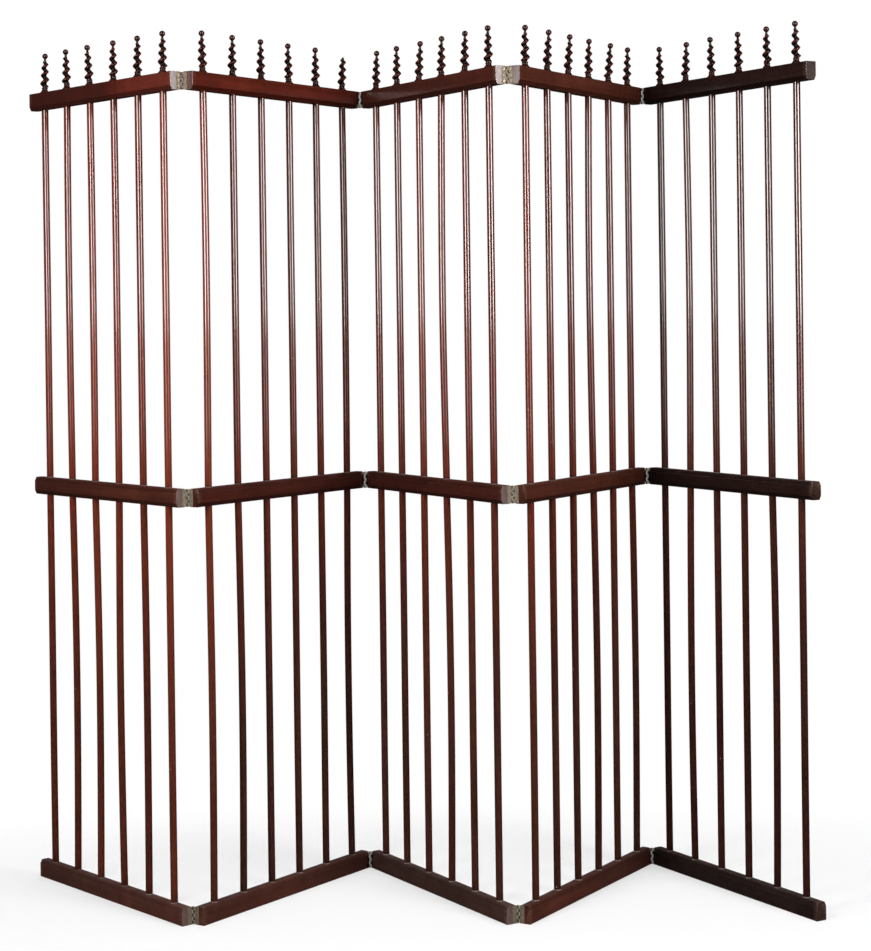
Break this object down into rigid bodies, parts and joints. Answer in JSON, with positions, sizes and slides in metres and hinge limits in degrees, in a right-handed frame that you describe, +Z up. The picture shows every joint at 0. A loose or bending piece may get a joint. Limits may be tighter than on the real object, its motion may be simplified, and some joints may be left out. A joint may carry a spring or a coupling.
{
  "type": "folding rod screen",
  "caption": "Zigzag folding screen: hinged panels of long round rods held in chamfered top, middle and bottom rails, with barley-twist ball finials on the top rails.",
  "frame": {"origin": "on the floor, under the middle of the rest footprint's box", "axes": "+Z up, +X to the right along the front of the screen, +Y away from the viewer"},
  "size_m": [1.6762, 0.5016, 1.831],
  "materials": {
    "mahogany_rail": "dark mahogany, French polished, worn on the long edges",
    "mahogany_rod": "dark red mahogany, glossy polish",
    "mahogany_turned": "dark mahogany, glossy polish, darker in the hollows",
    "brass_leaf": "old unpolished brass, pitted and dull",
    "brass_pin": "old brass, dull",
    "brass_screw": "old brass, dull, dark in the slots"
  },
  "bodies": {
    "panel_1": {"panel_1_top_rail": "mahogany_rail", "panel_1_middle_rail": "mahogany_rail", "panel_1_bottom_rail": "mahogany_rail", "panel_1_rods": "mahogany_rod", "panel_1_finials": "mahogany_turned", "panel_1_hinge_screws": "brass_screw", "hinge_1_left_leaves": "brass_leaf", "hinge_1_pins": "brass_pin"},
    "panel_2": {"panel_2_top_rail": "mahogany_rail", "panel_2_middle_rail": "mahogany_rail", "panel_2_bottom_rail": "mahogany_rail", "panel_2_rods": "mahogany_rod", "panel_2_finials": "mahogany_turned", "panel_2_hinge_screws": "brass_screw", "hinge_1_right_leaves": "brass_leaf", "hinge_2_left_leaves": "brass_leaf", "hinge_2_pins": "brass_pin"},
    "panel_3": {"panel_3_top_rail": "mahogany_rail", "panel_3_middle_rail": "mahogany_rail", "panel_3_bottom_rail": "mahogany_rail", "panel_3_rods": "mahogany_rod", "panel_3_finials": "mahogany_turned", "panel_3_hinge_screws": "brass_screw", "hinge_2_right_leaves": "brass_leaf", "hinge_3_left_leaves": "brass_leaf", "hinge_3_pins": "brass_pin"},
    "panel_4": {"panel_4_top_rail": "mahogany_rail", "panel_4_middle_rail": "mahogany_rail", "panel_4_bottom_rail": "mahogany_rail", "panel_4_rods": "mahogany_rod", "panel_4_finials": "mahogany_turned", "panel_4_hinge_screws": "brass_screw", "hinge_3_right_leaves": "brass_leaf", "hinge_4_left_leaves": "brass_leaf", "hinge_4_pins": "brass_pin"},
    "panel_5": {"panel_5_top_rail": "mahogany_rail", "panel_5_middle_rail": "mahogany_rail", "panel_5_bottom_rail": "mahogany_rail", "panel_5_rods": "mahogany_rod", "panel_5_finials": "mahogany_turned", "panel_5_hinge_screws": "brass_screw", "hinge_4_right_leaves": "brass_leaf"}
  },
  "joints": [
    {"name": "fold_1", "type": "hinge", "parent": "panel_2", "child": "panel_1", "pos_m": [-0.45104, -0.20847, 0], "axis": [0, 0, 1], "range_deg": [-75.7, 69.3]},
    {"name": "fold_2", "type": "hinge", "parent": "panel_3", "child": "panel_2", "pos_m": [-0.10291, 0.23573, 0], "axis": [0, 0, -1], "range_deg": [-66.1, 78.9]},
    {"name": "fold_3", "type": "hinge", "parent": "panel_3", "child": "panel_4", "pos_m": [0.21257, -0.23222, 0], "axis": [0, 0, -1], "range_deg": [-62.3, 82.7]},
    {"name": "fold_4", "type": "hinge", "parent": "panel_4", "child": "panel_5", "pos_m": [0.53049, 0.23408, 0], "axis": [0, 0, 1], "range_deg": [-61.6, 83.4]}
  ]
}
